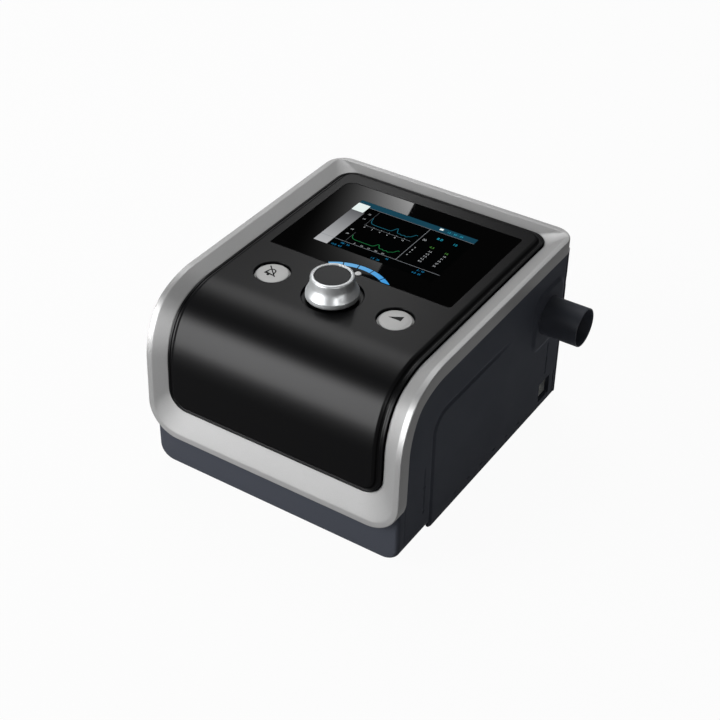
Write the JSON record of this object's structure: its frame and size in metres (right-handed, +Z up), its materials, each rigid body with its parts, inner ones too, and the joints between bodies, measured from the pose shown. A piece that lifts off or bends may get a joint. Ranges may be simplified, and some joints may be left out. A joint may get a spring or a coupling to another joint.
{
  "type": "bilevel positive airway pressure machine",
  "caption": "Table-top breathing machine with a bent silver frame, black sloping front, flat screen, control knob and side air outlet.",
  "frame": {"origin": "middle of the machine's footprint on the surface that it stands on", "axes": "+Z up, -Y towards the front with the bent cover, +X towards the side with the air outlet"},
  "size_m": [0.1932, 0.197, 0.1299],
  "materials": {
    "silver": "satin silver paint over a moulded ring",
    "black_cover": "satin black",
    "grey_housing": "fine-grained blue-grey",
    "window_gloss": "polished, tinted almost black",
    "screen": "lit colour display under the window",
    "arc_light": "glowing light guide",
    "lamp_lens": "white lens",
    "knob_silver": "satin silver",
    "knob_top": "satin dark grey",
    "button_silver": "satin silver grey",
    "switch_black": "moulded black",
    "rubber": "soft black",
    "steel": "bare",
    "board": "green lacquer",
    "heat_sink": "bare",
    "ivory": "moulded ivory",
    "pale_plastic": "moulded pale grey",
    "foam": "open foam"
  },
  "bodies": {
    "machine": {"silver_frame": "silver", "front_cover": "black_cover", "front_apron": "grey_housing", "right_shell": "grey_housing", "left_shell": "grey_housing", "rear_panel": "grey_housing", "base_tray": "grey_housing", "display_window": "window_gloss", "screen_panel": "screen", "screen_backplate": "steel", "light_arc": "arc_light", "status_lens": "lamp_lens", "encoder_body": "steel", "control_board": "board", "mute_switch": "switch_black", "ramp_switch": "switch_black", "foot_1": "rubber", "foot_2": "rubber", "foot_3": "rubber", "foot_4": "rubber", "base_screw_1": "steel", "base_screw_2": "steel", "base_screw_3": "steel", "base_screw_4": "steel", "blower_lower": "ivory", "blower_upper": "ivory", "motor_can": "steel", "isolator_1": "rubber", "isolator_2": "rubber", "isolator_3": "rubber", "duct_boot": "rubber", "outlet_pipe": "grey_housing", "inlet_box": "ivory", "filter_foam": "foam", "main_board": "board", "heat_sink": "heat_sink", "capacitor_1": "switch_black", "capacitor_2": "switch_black", "flow_sensor": "pale_plastic", "power_inlet": "switch_black", "link_socket": "pale_plastic", "card_socket": "steel"},
    "knob_plunger": {"encoder_shaft": "steel"},
    "knob": {"knob_shell": "knob_silver", "knob_cap": "knob_top"},
    "mute_key": {"mute_button": "button_silver"},
    "ramp_key": {"ramp_button": "button_silver"},
    "fan": {"impeller": "pale_plastic", "motor_shaft": "steel"},
    "filter_lid": {"filter_cover": "grey_housing"},
    "card": {"data_card": "switch_black"},
    "plug": {"socket_plug": "rubber"}
  },
  "joints": [
    {"name": "knob_push", "type": "slide", "parent": "machine", "child": "knob_plunger", "axis": [0, -0.0087, 1], "range_m": [-0.0008, 0], "stiffness_N_per_m": 600},
    {"name": "knob_turn", "type": "hinge", "parent": "knob_plunger", "child": "knob", "pos_m": [-0.01165, -0.034, 0.1157], "axis": [0, -0.0087, 1], "continuous": true},
    {"name": "mute_button_press", "type": "slide", "parent": "machine", "child": "mute_key", "axis": [0, -0.0087, 1], "range_m": [-0.0008, 0], "stiffness_N_per_m": 500},
    {"name": "ramp_button_press", "type": "slide", "parent": "machine", "child": "ramp_key", "axis": [0, -0.0087, 1], "range_m": [-0.0008, 0], "stiffness_N_per_m": 500},
    {"name": "impeller_spin", "type": "hinge", "parent": "machine", "child": "fan", "pos_m": [-0.00055, 0.0436, 0.067], "axis": [0, 0, 1], "continuous": true},
    {"name": "filter_cover_open", "type": "hinge", "parent": "machine", "child": "filter_lid", "pos_m": [-0.06465, 0.09645, 0.0255], "axis": [-1, 0, 0], "range_deg": [0, 100]},
    {"name": "data_card_out", "type": "slide", "parent": "machine", "child": "card", "axis": [-1, 0, 0], "range_m": [0, 0.02]},
    {"name": "socket_plug_out", "type": "slide", "parent": "machine", "child": "plug", "axis": [0, 1, 0], "range_m": [0, 0.012]}
  ]
}
